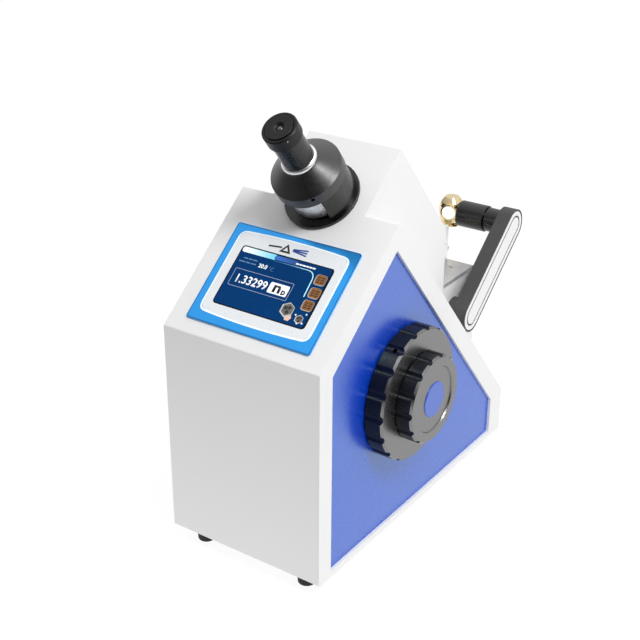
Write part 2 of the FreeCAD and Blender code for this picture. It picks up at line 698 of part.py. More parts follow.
def output_shaft():
    """The planet carrier, its pins, the shaft and the pinion are one piece."""
    pieces = [on_knob(rod(20, 91, 94.6)), on_knob(rod(OUTPUT_R, 34.5, 92))]
    for k in range(3):
        pieces.append(planet_place(rod(PLANET_PIN_R, 93, COARSE_FACE - 1), k))
    pinion = gear(PINION_TEETH, SECTOR_MODULE, PINION_X1 - PINION_X0, GEAR_LINE)
    pieces.append(along_x(pinion, PINION_X0, KNOB_Y, KNOB_Z))
    return pieces[0].fuse(pieces[1:]).removeSplitter()


def fine_knob():
    profile = [
        (FINE_SHAFT_R, FINE_BACK), (FINE_R - 1, FINE_BACK), (FINE_R, FINE_BACK + 1), (FINE_R, FINE_FACE - 2.2),
        (FINE_R - 2, FINE_FACE), (34, FINE_FACE), (33.2, FINE_FACE - 1.3), (18.3, FINE_FACE - 1.3),
        (18.3, FINE_FACE - 3), (FINE_SHAFT_R, FINE_FACE - 3),
    ]
    return fluted(profile, FINE_R, FINE_FLUTES, 5.5, 2.0)


def build_knobs():
    keep("coarse_knob", coarse_knob())
    keep("output_shaft", output_shaft())
    keep("fine_knob", on_knob(fine_knob()))
    keep("fine_knob_cap", on_knob(turned([
        (0, FINE_FACE - 3), (18.3, FINE_FACE - 3), (18.3, FINE_FACE - 1.0), (17.6, FINE_FACE - 0.4),
        (0, FINE_FACE - 0.4),
    ])))
    shaft = on_knob(rod(FINE_SHAFT_R, GEAR_X0, FINE_FACE - 3))
    sun = along_x(gear(SUN_TEETH, REDUCTION_MODULE, GEAR_X1 - GEAR_X0), GEAR_X0, KNOB_Y, KNOB_Z)
    keep("fine_shaft", shaft.fuse(sun).removeSplitter())
    half_pitch = math.pi / PLANET_TEETH
    bore = rod(PLANET_PIN_R + RUNNING, -1, 10)
    for k in range(3):
        turn = 2 * math.pi * k / 3 + half_pitch
        planet = gear(PLANET_TEETH, REDUCTION_MODULE, GEAR_X1 - GEAR_X0, turn).cut(bore)
        keep("planet_gear_%d" % (k + 1), planet_place(planet.translated(V(0, 0, GEAR_X0)), k))
    ring_low, ring_high = 95.0, 101.0
    spaces = flat_plate(tooth_points(RING_TEETH, REDUCTION_MODULE, 0, RING_TEETH, math.pi / RING_TEETH,
                                     0.8, 1.25, -BACKLASH), ring_low - 1, ring_high + 1)
    keep("ring_gear", on_knob(rod(26, ring_low, ring_high).cut(spaces)))
    housing = turned([
        (BEARING_R, 68), (HOUSING_BOSS_R, 68), (HOUSING_BOSS_R, PANEL_FACE), (30, PANEL_FACE), (30, 90),
        (28.5, 90), (28.5, 102), (26, 102), (26, 95), (24.5, 95), (24.5, 90), (BEARING_R, 90),
    ])
    keep("gear_housing", on_knob(housing))
    bearings = [on_knob(ring(BEARING_R, OUTPUT_R + RUNNING, x, x + BEARING_W)) for x in (69, 82)]
    bush_gap = 5.0
    bearings.append(on_knob(ring(BUSH_R, OUTPUT_R + RUNNING, BENCH_RIGHT, BENCH_RIGHT + bush_gap)))
    for x in (BENCH_LEFT, BENCH_RIGHT):
        bearings.append(along_x(ring(BUSH_R, OUTPUT_R + RUNNING, 0, bush_gap), x, MIRROR_Y, OPTIC_Z))
    keep("bearings", *bearings)


# ---------------------------------------------------------------- mirror and optical bench

BENCH_LEFT, BENCH_RIGHT, BENCH_WALL = -39.0, 34.0, 5.0
BUSH_R = 7.0
MIRROR_THICK = 4.0
SECTOR_HALF_TEETH = 10


def optical_bench():
    y, z = MIRROR_Y, OPTIC_Z
    foot_z = BASE_THICK + 6
    left = [(y - 40, BASE_THICK), (y - 40, z - 40), (y - 18, z + 16), (y + 18, z + 16), (y + 30, z - 30),
            (y + 30, BASE_THICK)]
    right = [(KNOB_Y - 16, BASE_THICK), (KNOB_Y - 16, KNOB_Z + 14), (y - 24, z + 16), (y + 18, z + 16),
             (y + 30, z - 30), (y + 30, BASE_THICK)]
    plates = [side_prism(left, BENCH_LEFT, BENCH_LEFT + BENCH_WALL),
              side_prism(right, BENCH_RIGHT, BENCH_RIGHT + BENCH_WALL)]
    slab = block(BENCH_LEFT, BENCH_RIGHT + BENCH_WALL, KNOB_Y - 16, y + 30, BASE_THICK, foot_z)
    body = slab.fuse(plates).removeSplitter()
    cuts = [along_x(rod(BUSH_R, -60, 60), 0, y, z)]
    cuts.append(along_x(rod(BUSH_R, 20, 60), 0, KNOB_Y, KNOB_Z))
    return body.cut(cuts)


def mirror_frame_place(shape):
    """Local Z is the mirror's normal, half way between the two beams."""
    lean = FRONT_SLOPE + (math.pi / 2 - FRONT_SLOPE) / 2 - math.pi / 2
    normal = V(0, -math.sin(lean), math.cos(lean))
    return place(shape, (0, MIRROR_Y, OPTIC_Z), normal, X_AXIS)


def sector_gear():
    first = -SECTOR_HALF_TEETH
    towards = GEAR_LINE + math.pi
    phase = towards + math.pi / SECTOR_TEETH
    teeth = tooth_points(SECTOR_TEETH, SECTOR_MODULE, first, 2 * SECTOR_HALF_TEETH, phase, 1.25, 1.0, BACKLASH)
    hub = 10.0
    side = math.pi / 2
    corners = [(hub * math.cos(towards + side), hub * math.sin(towards + side)),
               (-hub * math.cos(towards), -hub * math.sin(towards)),
               (hub * math.cos(towards - side), hub * math.sin(towards - side))]
    plate = flat_plate(teeth + corners, 0, 4)
    return plate.cut(rod(OUTPUT_R, -1, 6))


def build_mirror():
    keep("optical_bench", optical_bench())
    keep("mirror", mirror_frame_place(block(-17, 17, -20, 20, -MIRROR_THICK, 0)))
    back = -MIRROR_THICK
    pieces = [mirror_frame_place(block(-26, 26, -9, 9, back - 4, back)),
              mirror_frame_place(block(-19, 19, -22, 22, back - 4, back))]
    for x in (-26, 22):
        pieces.append(mirror_frame_place(block(x, x + 4, -9, 9, back - 4, 8)))
    for x0, x1 in ((-45, -24), (24, 47)):
        pieces.append(along_x(rod(OUTPUT_R, x0, x1), 0, MIRROR_Y, OPTIC_Z))
    carrier = pieces[0].fuse(pieces[1:]).removeSplitter()
    keep("mirror_shaft", carrier)
    keep("sector_gear", along_x(sector_gear(), PINION_X0 + 0.8, MIRROR_Y, OPTIC_Z))


# ---------------------------------------------------------------- prisms

KNUCKLE_R, HINGE_PIN_R = 3.5, 1.5


def hinge_knuckle(y0, y1, z_web, bore):
    """A knuckle and the web that joins it to the prism box on its right."""
    body = along_y(rod(KNUCKLE_R, 0, y1 - y0), HINGE_X, y0, HINGE_Z)
    web = block(HINGE_X, -PRISM_HALF, y0, y1, min(z_web), max(z_web))
    hole = along_y(rod(bore, -1, y1 - y0 + 1), HINGE_X, y0, HINGE_Z)
    return body.fuse(web).removeSplitter().cut(hole)


def prism_stage():
    """A bent plate: the flat part lies on the shelf and the upright one on the tower."""
    flat = block(-45, 53, TOWER_REAR_Y, 350, SHELF_Z, STAGE_TOP)
    outline = [(-42, SHELF_Z), (51, SHELF_Z), (51, 234), (46.5, 238.5), (-37, 238.5), (-42, 234)]
    upright = flat_plate(outline, 0, 5)
    upright = place(upright.mirror(V(0, 0, 0), X_AXIS), (0, TOWER_REAR_Y + 5, 0), V(0, -1, 0), V(1, 0, 0))
    cuts = [along_y(rod(12, -1, 7), 0, TOWER_REAR_Y, OPTIC_Z)]
    for x, y in STAGE_SCREWS:
        cuts.append(rod(M3 + 0.1, 0, 10).translated(V(x, y, SHELF_Z - 1)))
    cuts.append(rod(2.0, 0, 10).translated(V(35, 331, SHELF_Z - 1)))
    return flat.fuse(upright).removeSplitter().cut(cuts)


def build_prisms():
    keep("prism_stage", prism_stage())
    pocket = block(-15, 15, 302, 338, STAGE_TOP + 4, PRISM_SPLIT + 1)
    lower = block(-PRISM_HALF, PRISM_HALF, PRISM_FRONT, PRISM_BACK, STAGE_TOP, PRISM_SPLIT)
    port = along_y(rod(6, -1, 8), 0, PRISM_FRONT, OPTIC_Z)
    lower = lower.cut([pocket, port])
    knuckles = [hinge_knuckle(y0, y0 + 10, (218, PRISM_SPLIT), HINGE_PIN_R) for y0 in (298, 332)]
    keep("lower_prism_box", lower.fuse(knuckles).removeSplitter())
    wedge = [(302, PRISM_SPLIT), (338, PRISM_SPLIT), (338, 219), (302, STAGE_TOP + 4)]
    keep("refracting_prism", side_prism(wedge, -15, 15))
    keep("prism_hinge_pin", along_y(rod(HINGE_PIN_R, 0, 48), HINGE_X, 296, HINGE_Z))

    low = PRISM_SPLIT + 0.4
    upper = block(-PRISM_HALF, PRISM_HALF, PRISM_FRONT, PRISM_BACK, low, PRISM_TOP)
    pocket = block(-15, 15, 302, 338, low - 1, PRISM_TOP - 4)
    port = along_y(rod(7, -8, 1), 0, PRISM_BACK, 233)
    upper = upper.cut([pocket, port])
    upper = upper.makeChamfer(1.5, [e for e in upper.Edges if is_top_edge(e)])
    knuckle = hinge_knuckle(308.5, 331.5, (low, 228), HINGE_PIN_R + RUNNING)
    keep("upper_prism_box", upper.fuse(knuckle).removeSplitter())
    keep("incident_prism", side_prism([(302, low), (338, low), (338, PRISM_TOP - 4), (302, 227)], -15, 15))
    profile = [(0, 0.3), (3, 0.3), (3, 2), (6.5, 2), (7, 2.5), (7, 7.4), (6.4, 8), (0, 8)]
    knob = fluted(profile, 7, 16, 0.8, 0.4)
    keep("prism_lock_knob", along_x(knob, PRISM_HALF, 304, 234))
    nipple = turned([
        (1.8, 0), (4.5, 0), (4.5, 3), (3.0, 3), (3.0, 7), (3.6, 7.6), (3.0, 10), (3.6, 10.6), (3.6, 13),
        (2.8, 15), (1.8, 15),
    ])
    keep("hose_nipples", *[along_y(nipple, x, PRISM_BACK, 211) for x in (-14, 14)])


def is_top_edge(edge):
    return all(abs(v.Z - PRISM_TOP) < 1e-6 for v in edge.Vertexes)


# ---------------------------------------------------------------- lamp arm

ARM_LENGTH = math.hypot(ARM_HIGH[0] - ARM_LOW[0], ARM_HIGH[1] - ARM_LOW[1])
PIVOT_R = 5.0
LAMP_PIN_R = 6.0
COVER_R, COVER_THICK = 16.8, 1.4
CELL_X, WINDOW_R, WINDOW_Z = -2.0, 7.6, 3.0
WINDOW_WAY = V(0.26, -0.966, 0)
LAMP_TUBE_X = 10.5


def lamp_arm():
    body = obround(ARM_LENGTH, ARM_R, ARM_INNER, ARM_OUTER)
    hub = rod(16, TOWER_HALF + 1, ARM_INNER + 1)
    recess = obround(ARM_LENGTH, COVER_R, ARM_OUTER - COVER_THICK, ARM_OUTER + 1)
    pivot = rod(PIVOT_R + RUNNING, TOWER_HALF, ARM_OUTER - 4)
    socket = rod(LAMP_PIN_R + RUNNING, ARM_INNER - 1, ARM_OUTER - 5).translated(V(ARM_LENGTH, 0, 0))
    return body.fuse(hub).removeSplitter().cut([recess, pivot, socket])


def build_lamp():
    keep("lamp_arm", arm_place(lamp_arm(), 0))
    keep("arm_cover", arm_place(obround(ARM_LENGTH, COVER_R, ARM_OUTER - COVER_THICK, ARM_OUTER), 0))
    pin = rod(PIVOT_R, 42, ARM_OUTER - 4.5)
    corners = [math.radians(60 * i) for i in range(6)]
    nut = flat_plate([(9 * math.cos(a), 9 * math.sin(a)) for a in corners], TOWER_INNER - 5, TOWER_INNER)
    washer = rod(15, TOWER_HALF, TOWER_HALF + 0.7)
    keep("arm_pivot_pin", along_x(pin.fuse([nut, washer]).removeSplitter(), 0, *ARM_LOW))

    tube = turned([
        (0, LAMP_TUBE_X), (LAMP_R - 0.6, LAMP_TUBE_X), (LAMP_R, LAMP_TUBE_X + 0.6), (LAMP_R, 43.2),
        (LAMP_R - 0.8, 44), (12.0, 44), (12.0, 45.6), (13.4, 45.6), (13.4, ARM_INNER - 0.3),
        (LAMP_PIN_R, ARM_INNER - 0.3),
        (LAMP_PIN_R, ARM_OUTER - 5.5), (0, ARM_OUTER - 5.5),
    ])
    keep("lamp_tube", along_x(tube, 0, *ARM_HIGH))
    cell = turned([
        (0, -15), (13.2, -15), (14.2, -14), (14.2, -11.8), (12.6, -10.8), (13.5, -6), (14.6, 0), (14.4, 6),
        (12.6, 11.5), (9.6, 15.5), (8.0, 17.5), (0, 17.5),
    ])
    neck = along_x(rod(11, 5, LAMP_TUBE_X - CELL_X), 0, 0, 0)
    window = place(rod(WINDOW_R, 11, 20), (0, 0, WINDOW_Z), WINDOW_WAY, Z_AXIS)
    rim = place(ring(WINDOW_R + 1.6, WINDOW_R, 8, 15.6), (0, 0, WINDOW_Z), WINDOW_WAY, Z_AXIS)
    lens = place(rod(WINDOW_R, 11, 14.8), (0, 0, WINDOW_Z), WINDOW_WAY, Z_AXIS)
    tube_end = block(LAMP_TUBE_X - CELL_X, 30, -20, 20, -20, 25)
    cell = cell.fuse([neck, rim]).removeSplitter().cut([window, tube_end])
    centre = V(CELL_X, *ARM_HIGH)
    keep("lamp_cell", cell.translated(centre))
    keep("lamp_lens", lens.translated(centre))


# ---------------------------------------------------------------- everything

def main():
    build_casing()
    build_rear()
    build_display()
    build_eyepiece()
    build_knobs()
    build_mirror()
    build_prisms()
    build_lamp()
    keep("m3_screws", *m3_screws())

    box = FreeCAD.BoundBox()
    for solids in parts.values():
        for solid in solids:
            box.add(solid.optimalBoundingBox(False))
    move = V(-(box.XMin + box.XMax) / 2, -(box.YMin + box.YMax) / 2, -box.ZMin)
    os.makedirs("parts", exist_ok=True)
    for name, solids in parts.items():
        shape = solids[0] if len(solids) == 1 else Part.makeCompound(solids)
        shape.translated(move).exportStep("parts/%s.step" % name)
    print("origin moved by", move, "nodes", len(parts))
    print("size", box.XLength, box.YLength, box.ZLength)


main()
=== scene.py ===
import json
import math

import bmesh
import bpy
from mathutils import Matrix, Vector


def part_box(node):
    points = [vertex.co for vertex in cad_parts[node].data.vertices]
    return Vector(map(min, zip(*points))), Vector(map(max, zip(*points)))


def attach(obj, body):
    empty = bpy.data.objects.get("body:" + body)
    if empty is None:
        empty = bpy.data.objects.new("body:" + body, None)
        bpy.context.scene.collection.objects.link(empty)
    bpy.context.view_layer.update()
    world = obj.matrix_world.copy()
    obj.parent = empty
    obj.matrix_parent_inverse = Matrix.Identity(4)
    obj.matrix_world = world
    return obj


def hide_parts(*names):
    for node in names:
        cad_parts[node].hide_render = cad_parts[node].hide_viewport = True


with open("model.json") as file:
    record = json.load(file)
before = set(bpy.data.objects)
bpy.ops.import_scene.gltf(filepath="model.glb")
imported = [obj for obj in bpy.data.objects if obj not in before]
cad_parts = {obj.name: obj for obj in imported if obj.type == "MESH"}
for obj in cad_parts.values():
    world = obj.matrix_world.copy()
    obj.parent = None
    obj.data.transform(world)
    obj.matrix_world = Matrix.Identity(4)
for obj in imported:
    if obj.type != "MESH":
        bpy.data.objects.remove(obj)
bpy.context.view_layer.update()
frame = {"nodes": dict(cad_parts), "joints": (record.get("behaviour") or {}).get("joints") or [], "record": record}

NODES = frame["nodes"]
JOINTS = {joint["name"]: joint for joint in frame["joints"]}

# ------------------------------------------------------------------ places, from the frame

MM = 0.001
WHEEL_MIDDLE = 18.0  # millimetres from the slope to the middle of the dispersion wheel
EYE_UP_SLOPE = 171.7  # millimetres from the slope's lower edge to the eyepiece's axis

CASING_LOW, CASING_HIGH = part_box("casing")
FRONT_FOOT = Vector(((CASING_LOW.x + CASING_HIGH.x) / 2, CASING_LOW.y, CASING_LOW.z))
X_AXIS = Vector((1, 0, 0))
EYE_AXIS = Vector(JOINTS["dispersion_turn"]["axis"])
EYE_FOOT = Vector(JOINTS["dispersion_turn"]["pos_m"]) - EYE_AXIS * WHEEL_MIDDLE * MM
UP_SLOPE = EYE_AXIS.cross(X_AXIS)
ARM_LOW = Vector(JOINTS["arm_swing"]["pos_m"])
ARM_HIGH = Vector(JOINTS["lamp_tilt"]["pos_m"])
ARM_DIRECTION = Vector((0, ARM_HIGH.y - ARM_LOW.y, ARM_HIGH.z - ARM_LOW.z))
ARM_LENGTH = ARM_DIRECTION.length / MM


def axes(origin, z_axis, x_axis):
    """Takes local millimetres to the frame, with local Z and X along the given axes."""
    z = z_axis.normalized()
    y = z.cross(x_axis).normalized()
    x = y.cross(z)
    turn = Matrix((x, y, z)).transposed().to_4x4()
    return Matrix.Translation(origin) @ turn @ Matrix.Scale(MM, 4)


EYEPIECE = axes(EYE_FOOT, EYE_AXIS, X_AXIS)
SLOPE = axes(EYE_FOOT - UP_SLOPE * EYE_UP_SLOPE * MM, EYE_AXIS, X_AXIS)
ARM = axes(Vector((FRONT_FOOT.x, ARM_LOW.y, ARM_LOW.z)), X_AXIS, ARM_DIRECTION)

# ------------------------------------------------------------------ outlines, in local millimetres

LONGEST_CORNER = 0.45  # of the edge beside it
CORNER_STEPS = 8
BOW_STEPS = 24
ROUND_END_STEPS = 24


def softened(points, radius, steps, closed=True):
    """A chain of 2-D points with every corner rounded."""
    result = []
    for i, here in enumerate(points):
        corner = Vector(here)
        if not closed and i in (0, len(points) - 1):
            result.append(corner)
            continue
        to_last = Vector(points[i - 1]) - corner
        to_next = Vector(points[(i + 1) % len(points)]) - corner
        reach = min(radius, to_last.length * LONGEST_CORNER, to_next.length * LONGEST_CORNER)
        start = corner + to_last.normalized() * reach
        end = corner + to_next.normalized() * reach
        for k in range(steps + 1):
            t = k / steps
            result.append(start * (1 - t) ** 2 + corner * 2 * t * (1 - t) + end * t ** 2)
    return result


def rectangle(x0, x1, y0, y1, radius):
    return softened([(x0, y0), (x1, y0), (x1, y1), (x0, y1)], radius, CORNER_STEPS)


def bowed_rectangle(x0, x1, y0, y1, bulge, corner):
    """A rounded rectangle whose long sides bow outwards a little."""
    half = (x1 - x0) / 2 - corner
    middle = Vector(((x0 + x1) / 2, (y0 + y1) / 2))
    outline = []
    rounded = rectangle(x0, x1, y0, y1, corner)
    for i, point in enumerate(rounded):
        ahead = rounded[(i + 1) % len(rounded)]
        steps = BOW_STEPS if abs(ahead.x - point.x) > half else 1
        outline += [point.lerp(ahead, k / steps) for k in range(steps)]
    for point in outline:
        part = (point.x - middle.x) / half
        if abs(part) < 1:
            point.y += math.copysign(bulge * (1 - part * part), point.y - middle.y)
    return outline


def polygon(x, y, radius, sides, turn=0.0):
    angles = [turn + math.tau * i / sides for i in range(sides)]
    return [Vector((x + radius * math.cos(a), y + radius * math.sin(a))) for a in angles]


def obround(length, radius):
    """The outline of a bar with two round ends, which are centred on local X."""
    points = []
    for centre, first_angle in ((0, math.pi / 2), (length, -math.pi / 2)):
        for i in range(ROUND_END_STEPS + 1):
            angle = first_angle + math.pi * i / ROUND_END_STEPS
            points.append(Vector((centre + radius * math.cos(angle), radius * math.sin(angle))))
    return points


def ribbon(points, width, first_width=None):
    """The outline of a line through 2-D points, with an even width or one that grows."""
    left, right = [], []
    first = width if first_width is None else first_width
    for i, point in enumerate(points):
        here = first + (width - first) * i / (len(points) - 1)
        ahead = points[min(i + 1, len(points) - 1)] - points[max(i - 1, 0)]
        side = Vector((-ahead.y, ahead.x)).normalized() * here / 2
        left.append(point + side)
        right.append(point - side)
    return left + right[::-1]


# ------------------------------------------------------------------ solids

SMOOTH_ANGLE = 30.0
EDGE_ANGLE = 32.0
EDGE_SEGMENTS = 2


def plate(bm, outline, low, high, hole=None):
    """A flat plate with straight walls. A hole has as many points as the outline."""
    count = len(outline)
    bottom = [bm.verts.new((p.x, p.y, low)) for p in outline]
    top = [bm.verts.new((p.x, p.y, high)) for p in outline]
    if not hole:
        bm.faces.new(bottom[::-1])
        bm.faces.new(top)
        for i in range(count):
            j = (i + 1) % count
            bm.faces.new((bottom[i], bottom[j], top[j], top[i]))
        return
    hole_bottom = [bm.verts.new((p.x, p.y, low)) for p in hole]
    hole_top = [bm.verts.new((p.x, p.y, high)) for p in hole]
    for i in range(count):
        j = (i + 1) % count
        bm.faces.new((bottom[i], bottom[j], top[j], top[i]))
        bm.faces.new((hole_bottom[j], hole_bottom[i], hole_top[i], hole_top[j]))
        bm.faces.new((top[i], top[j], hole_top[j], hole_top[i]))
        bm.faces.new((bottom[j], bottom[i], hole_bottom[i], hole_bottom[j]))


def lathe(bm, profile, segments=128):
    """Turns a closed (radius, height) profile about local Z."""
    angles = [math.tau * k / segments for k in range(segments)]
    rings = []
    for radius, height in profile:
        if radius == 0:
            rings.append([bm.verts.new((0, 0, height))])
            continue
        rings.append([bm.verts.new((radius * math.cos(a), radius * math.sin(a), height)) for a in angles])
    for low, high in zip(rings, rings[1:] + rings[:1]):
        if len(low) == 1 and len(high) == 1:
            continue
        for k in range(segments):
            n = (k + 1) % segments
            corners = [low[k % len(low)], low[n % len(low)], high[n % len(high)], high[k % len(high)]]
            bm.faces.new(list(dict.fromkeys(corners)))


def piece(name, build, place, body, material, bevel=0.0, smooth=SMOOTH_ANGLE):
    """A new piece from mesh code, in local millimetres, that rides on a CAD body."""
    bm = bmesh.new()
    build(bm)
    bmesh.ops.recalc_face_normals(bm, faces=bm.faces)
    bm.transform(place)
    mesh = bpy.data.meshes.new(name)
    bm.to_mesh(mesh)
    bm.free()
    return finished(name, mesh, body, material, bevel, smooth)


def finished(name, mesh, body, material, bevel=0.0, smooth=SMOOTH_ANGLE):
    """Makes an object of a mesh that lies in the frame already."""
    mesh.materials.clear()
    mesh.materials.append(material)
    mesh.shade_smooth()
    mesh.set_sharp_from_angle(angle=math.radians(smooth))
    obj = bpy.data.objects.new(name, mesh)
    bpy.context.scene.collection.objects.link(obj)
    if bevel:
        round_edges(obj, bevel)
    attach(obj, body)
    return obj


def round_edges(obj, width):
    """Every sharp edge gets the small radius that a made part has."""
    bevel = obj.modifiers.new("edge_radius", "BEVEL")
    bevel.width = width * MM
    bevel.segments = EDGE_SEGMENTS
    bevel.limit_method = "ANGLE"
    bevel.angle_limit = math.radians(EDGE_ANGLE)
    bevel.use_clamp_overlap = True
    bevel.harden_normals = True


# ------------------------------------------------------------------ kinds of finish

NOISE_LOW, NOISE_HIGH = 0.3, 0.7  # most of a noise texture lies between these
NOISE_ROUGH = 0.55
GLOSS_CLOUDS = 5  # the clouds of uneven gloss are this much finer than those of colour
COAT_ROUGH = 0.06
GLASS_IOR = 1.5
GLASS_CLOUD = 90
GLASS_ROUGH, GLASS_SMUDGED = 0.02, 0.07
GLOW_ROUGH = 0.3
GLOW_CLOUD = 60
GLOW_DIMMEST = 0.97


def new_material(name):
    material = bpy.data.materials.new(name)
    material.use_nodes = True
    tree = material.node_tree
    shader = tree.nodes["Principled BSDF"]
    coordinates = tree.nodes.new("ShaderNodeTexCoord")
    return material, tree, shader, coordinates.outputs["Object"]


def noise(tree, vector, scale, detail=4.0):
    node = tree.nodes.new("ShaderNodeTexNoise")
    node.inputs["Scale"].default_value = scale
    node.inputs["Detail"].default_value = detail
    node.inputs["Roughness"].default_value = NOISE_ROUGH
    tree.links.new(vector, node.inputs["Vector"])
    return node.outputs["Fac"]


def spread(tree, value, low, high, from_low=NOISE_LOW, from_high=NOISE_HIGH):
    node = tree.nodes.new("ShaderNodeMapRange")
    node.inputs["From Min"].default_value = from_low
    node.inputs["From Max"].default_value = from_high
    node.inputs["To Min"].default_value = low
    node.inputs["To Max"].default_value = high
    tree.links.new(value, node.inputs["Value"])
    return node.outputs["Result"]


def ramp(tree, value, first, last, first_place=NOISE_LOW, last_place=NOISE_HIGH):
    """Blends from one colour to another as a value grows."""
    node = tree.nodes.new("ShaderNodeValToRGB")
    start, end = node.color_ramp.elements
    start.position, end.position = first_place, last_place
    start.color = (*first, 1)
    end.color = (*last, 1)
    tree.links.new(value, node.inputs["Fac"])
    return node.outputs["Color"]


def bump(tree, shader, height, strength, distance):
    node = tree.nodes.new("ShaderNodeBump")
    node.inputs["Strength"].default_value = strength
    node.inputs["Distance"].default_value = distance
    tree.links.new(height, node.inputs["Height"])
    tree.links.new(node.outputs["Normal"], shader.inputs["Normal"])


def shade(colour, factor):
    return tuple(min(1.0, c * factor) for c in colour)


def surface(name, colour, rough, metallic=0.0, vary=0.04, grain=1200.0, grain_height=0.00002,
            grain_strength=0.15, cloud=25.0, coat=0.0, ior=1.5, specular=0.5, rough_vary=0.05,
            tint=(1, 1, 1)):
    """A finish with slow colour drift, uneven gloss and a fine grain."""
    material, tree, shader, vector = new_material(name)
    drift = noise(tree, vector, cloud)
    colours = ramp(tree, drift, shade(colour, 1 - vary), shade(colour, 1 + vary))
    tree.links.new(colours, shader.inputs["Base Color"])
    smear = noise(tree, vector, cloud * GLOSS_CLOUDS)
    gloss = spread(tree, smear, rough - rough_vary, rough + rough_vary)
    tree.links.new(gloss, shader.inputs["Roughness"])
    bump(tree, shader, noise(tree, vector, grain, detail=2.0), grain_strength, grain_height)
    shader.inputs["Metallic"].default_value = metallic
    shader.inputs["Coat Weight"].default_value = coat
    shader.inputs["Coat Roughness"].default_value = COAT_ROUGH
    shader.inputs["IOR"].default_value = ior
    shader.inputs["Specular Tint"].default_value = (*tint, 1)
    shader.inputs["Specular IOR Level"].default_value = specular
    return material


def glass(name, colour):
    material, tree, shader, vector = new_material(name)
    shader.inputs["Base Color"].default_value = (*colour, 1)
    shader.inputs["Transmission Weight"].default_value = 1.0
    shader.inputs["IOR"].default_value = GLASS_IOR
    smudge = noise(tree, vector, GLASS_CLOUD)
    tree.links.new(spread(tree, smudge, GLASS_ROUGH, GLASS_SMUDGED), shader.inputs["Roughness"])
    return material


def light_up(tree, shader, colours, strength):
    """The same colours as paint and as glow."""
    tree.links.new(colours, shader.inputs["Base Color"])
    tree.links.new(colours, shader.inputs["Emission Color"])
    shader.inputs["Emission Strength"].default_value = strength
    shader.inputs["Roughness"].default_value = GLOW_ROUGH


def glowing(name, colour, strength):
    material, tree, shader, vector = new_material(name)
    drift = noise(tree, vector, GLOW_CLOUD)
    light_up(tree, shader, ramp(tree, drift, shade(colour, GLOW_DIMMEST), colour), strength)
    return material


def glow_across(name, left, right, low_x, high_x, strength):
    """A glow that changes colour between two places, in millimetres right of the casing's middle."""
    material, tree, shader, vector = new_material(name)
    apart = tree.nodes.new("ShaderNodeSeparateXYZ")
    tree.links.new(vector, apart.inputs["Vector"])
    start, end = FRONT_FOOT.x + low_x * MM, FRONT_FOOT.x + high_x * MM
    across = spread(tree, apart.outputs["X"], 0.0, 1.0, start, end)
    light_up(tree, shader, ramp(tree, across, left, right, 0.0, 1.0), strength)
    return material


# ------------------------------------------------------------------ finishes of the instrument

WHITE = surface("white_powder_coat", (0.84, 0.84, 0.84), 0.36, vary=0.01, grain=2600, grain_height=0.00002,
                grain_strength=0.2, cloud=8, specular=0.4)
BLUE = surface("blue_gloss_paint", (0.001, 0.052, 0.58), 0.27, vary=0.03, grain=2600, grain_height=0.000004,
               grain_strength=0.05, cloud=6, ior=2.36, tint=(0.73, 1.0, 0.86), rough_vary=0.02)
ZINC = surface("zinc_steel", (0.55, 0.56, 0.58), 0.34, metallic=1.0, vary=0.08, cloud=120)
BLACK_METAL = surface("black_anodised", (0.002, 0.002, 0.0022), 0.28, vary=0.2, grain=2200,
                      grain_height=0.000002, grain_strength=0.04, cloud=80, ior=1.58)
HOOD_METAL = surface("turned_black_hood", (0.002, 0.002, 0.0022), 0.34, vary=0.2, grain=2200,
                     grain_height=0.000005, cloud=80, ior=1.8)
CAP_BLACK = surface("matt_black_cap", (0.003, 0.003, 0.0032), 0.42, vary=0.2, grain=2200,
                    grain_height=0.00001, cloud=80, ior=1.42)
ARM_BLACK = surface("arm_paint", (0.045, 0.045, 0.047), 0.5, vary=0.08, grain=2600, grain_height=0.00004,
                    grain_strength=0.35, cloud=50)
# The knob's sides are black; the faint navy in their colour is a painted reflection of the blue panel.
KNOB_SIDE = surface("knob_side", (0.003, 0.004, 0.008), 0.32, vary=0.2, grain=1800, grain_height=0.00002,
                    cloud=60, specular=0.35)
KNOB_FACE = surface("knob_face", (0.008, 0.008, 0.009), 0.28, vary=0.05, grain=1500, grain_height=0.00001,
                    cloud=40, grain_strength=0.05, ior=2.75, rough_vary=0.02)
CAP_BLUE = surface("cap_blue", (0.002, 0.05, 0.52), 0.24, vary=0.05, cloud=70, ior=2.2, tint=(0.75, 1.0, 1.0))
BEZEL_BLUE = surface("bezel_azure", (0.04, 0.40, 0.98), 0.2, metallic=0.6, vary=0.02, cloud=30, specular=0.3)
BEZEL_WHITE = surface("bezel_white", (0.82, 0.85, 0.88), 0.3, vary=0.01, cloud=30, specular=0.4)
SCREEN = surface("screen_navy", (0.0, 0.042, 0.17), 0.25, vary=0.1, cloud=18, specular=0.05)
RUBBER = surface("rubber", (0.012, 0.012, 0.012), 0.7, vary=0.2, grain=1400, grain_height=0.0001, cloud=90)
SILVER = surface("turned_silver", (0.90, 0.90, 0.90), 0.32, metallic=1.0, vary=0.05, cloud=150)
CAST_GREY = surface("machined_grey", (0.62, 0.62, 0.63), 0.36, metallic=0.6, vary=0.06, grain=900,
                    grain_height=0.00003, cloud=60)
BRASS = surface("polished_brass", (0.88, 0.72, 0.42), 0.09, metallic=1.0, vary=0.06, cloud=160)
CHROME = surface("polished_steel", (0.75, 0.75, 0.77), 0.12, metallic=1.0, vary=0.04, cloud=150)
BLACK_PLASTIC = surface("black_plastic", (0.014, 0.014, 0.015), 0.45, vary=0.2, grain=1900,
                        grain_height=0.00005, cloud=90)
BOARD = surface("circuit_board", (0.01, 0.12, 0.05), 0.4, vary=0.2, cloud=300)
GLASS = glass("optical_glass", (0.93, 0.97, 0.98))
LAMP_WHITE = glowing("lamp_diffuser", (0.95, 0.95, 0.93), 0.6)
